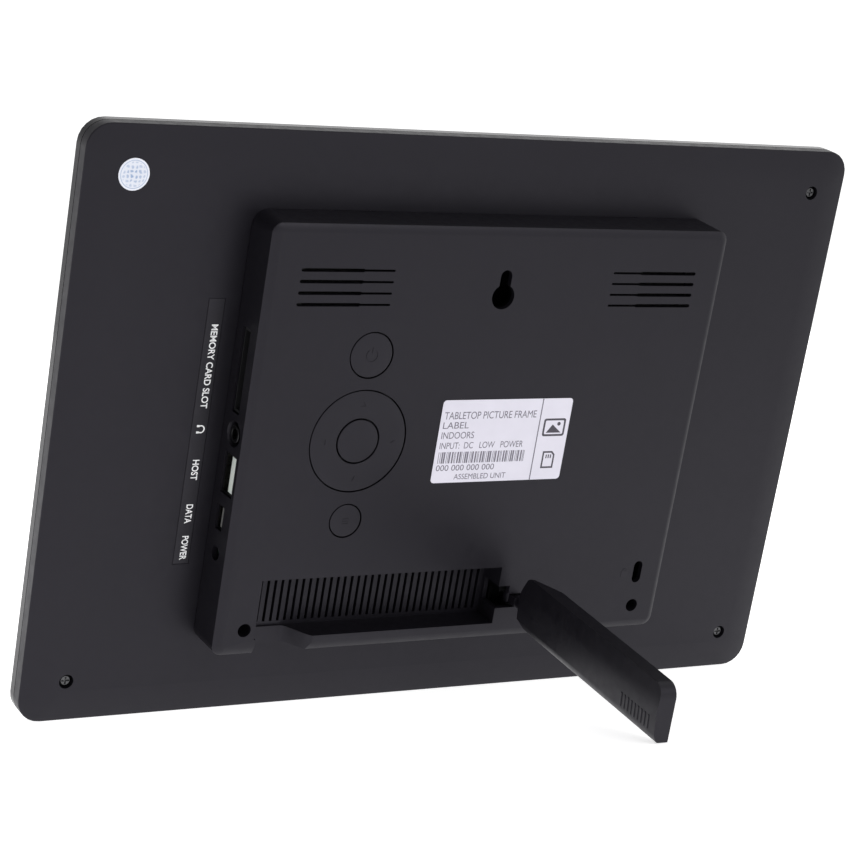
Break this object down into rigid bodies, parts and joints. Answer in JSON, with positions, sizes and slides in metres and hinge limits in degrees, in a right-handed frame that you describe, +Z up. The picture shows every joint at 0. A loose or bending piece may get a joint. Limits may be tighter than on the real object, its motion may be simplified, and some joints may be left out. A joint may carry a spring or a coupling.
{
  "type": "digital photo frame",
  "caption": "Landscape tabletop digital photo frame with a thin glossy bezel, raised rear housing, side sockets, a round key pad, keyhole hanger and a swing-out rear leg.",
  "frame": {"origin": "centre of the bounding box on the surface that the frame stands on, leg open", "axes": "+Z up, screen facing -Y, leg and housing towards +Y, sockets on the +X side of the housing, panel leaning back 16.2 degrees"},
  "size_m": [0.284, 0.1256, 0.1883],
  "materials": {
    "casing_plastic": "fine spark-eroded texture, satin",
    "bezel_plastic": "polished",
    "key_plastic": "satin",
    "screen_glass": "dark, switched off",
    "backlight_metal": "brushed tray",
    "gasket_foam": "closed-cell foam",
    "circuit_board": "solder mask",
    "connector_plastic": "moulded",
    "pale_connector": "moulded",
    "flat_cable": "polyimide film",
    "socket_shell": "nickel-plated",
    "lead_insulation": "extruded",
    "speaker_basket": "moulded",
    "printed_label": "printed film",
    "legend_film": "satin film",
    "plated_steel": "zinc-plated",
    "blackened_steel": "blackened"
  },
  "bodies": {
    "frame_body": {"backlight_unit": "backlight_metal", "board_screw_1": "plated_steel", "board_screw_2": "plated_steel", "board_screw_3": "plated_steel", "button_board": "circuit_board", "card_slot": "connector_plastic", "cover_screw_1": "plated_steel", "cover_screw_2": "plated_steel", "cover_screw_3": "plated_steel", "cover_screw_4": "plated_steel", "display_bracket_left": "plated_steel", "display_bracket_right": "plated_steel", "display_cable": "flat_cable", "display_connector": "pale_connector", "front_bezel": "bezel_plastic", "headphone_jack": "connector_plastic", "hinge_bracket": "blackened_steel", "hinge_pin": "plated_steel", "hinge_washer_lower": "blackened_steel", "hinge_washer_upper": "blackened_steel", "housing_screw_1": "plated_steel", "housing_screw_2": "plated_steel", "inspection_sticker": "printed_label", "keyhole_plate": "blackened_steel", "lcd_glass": "screen_glass", "lock_plate": "blackened_steel", "main_board": "circuit_board", "memory_chip": "connector_plastic", "mini_usb_socket": "socket_shell", "pin_header": "connector_plastic", "port_legend": "legend_film", "power_inlet": "connector_plastic", "processor": "connector_plastic", "rating_label": "printed_label", "rear_cover": "casing_plastic", "rear_housing": "casing_plastic", "speaker_lead_left": "lead_insulation", "speaker_lead_right": "lead_insulation", "speaker_left": "speaker_basket", "speaker_right": "speaker_basket", "switch_down": "plated_steel", "switch_enter": "plated_steel", "switch_left": "plated_steel", "switch_menu": "plated_steel", "switch_power": "plated_steel", "switch_right": "plated_steel", "switch_up": "plated_steel", "usb_socket": "socket_shell", "window_gasket": "gasket_foam"},
    "stand_leg": {"stand_leg": "casing_plastic"},
    "power_button": {"power_button": "key_plastic"},
    "enter_button": {"enter_button": "key_plastic"},
    "menu_button": {"menu_button": "key_plastic"},
    "navigation_carrier": {"navigation_carrier": "key_plastic"},
    "navigation_ring": {"navigation_ring": "key_plastic"}
  },
  "joints": [
    {"name": "leg_swing", "type": "hinge", "parent": "frame_body", "child": "stand_leg", "pos_m": [-0.0266, -0.03241, 0.03422], "axis": [0, 0.2787, 0.9604], "range_deg": [-88, 0]},
    {"name": "power_press", "type": "slide", "parent": "frame_body", "child": "power_button", "axis": [0, -0.9604, 0.2787], "range_m": [0, 0.0005], "stiffness_N_per_m": 900},
    {"name": "enter_press", "type": "slide", "parent": "frame_body", "child": "enter_button", "axis": [0, -0.9604, 0.2787], "range_m": [0, 0.0005], "stiffness_N_per_m": 900},
    {"name": "menu_press", "type": "slide", "parent": "frame_body", "child": "menu_button", "axis": [0, -0.9604, 0.2787], "range_m": [0, 0.0005], "stiffness_N_per_m": 900},
    {"name": "pad_rock_sideways", "type": "hinge", "parent": "frame_body", "child": "navigation_carrier", "pos_m": [0.0447, -0.01522, 0.09056], "axis": [0, 0.2787, 0.9604], "range_deg": [-1.3, 1.3], "stiffness_Nm_per_rad": 0.2},
    {"name": "pad_rock_up_down", "type": "hinge", "parent": "navigation_carrier", "child": "navigation_ring", "pos_m": [0.0447, -0.01522, 0.09056], "axis": [1, 0, 0], "range_deg": [-1.3, 1.3], "stiffness_Nm_per_rad": 0.2}
  ]
}
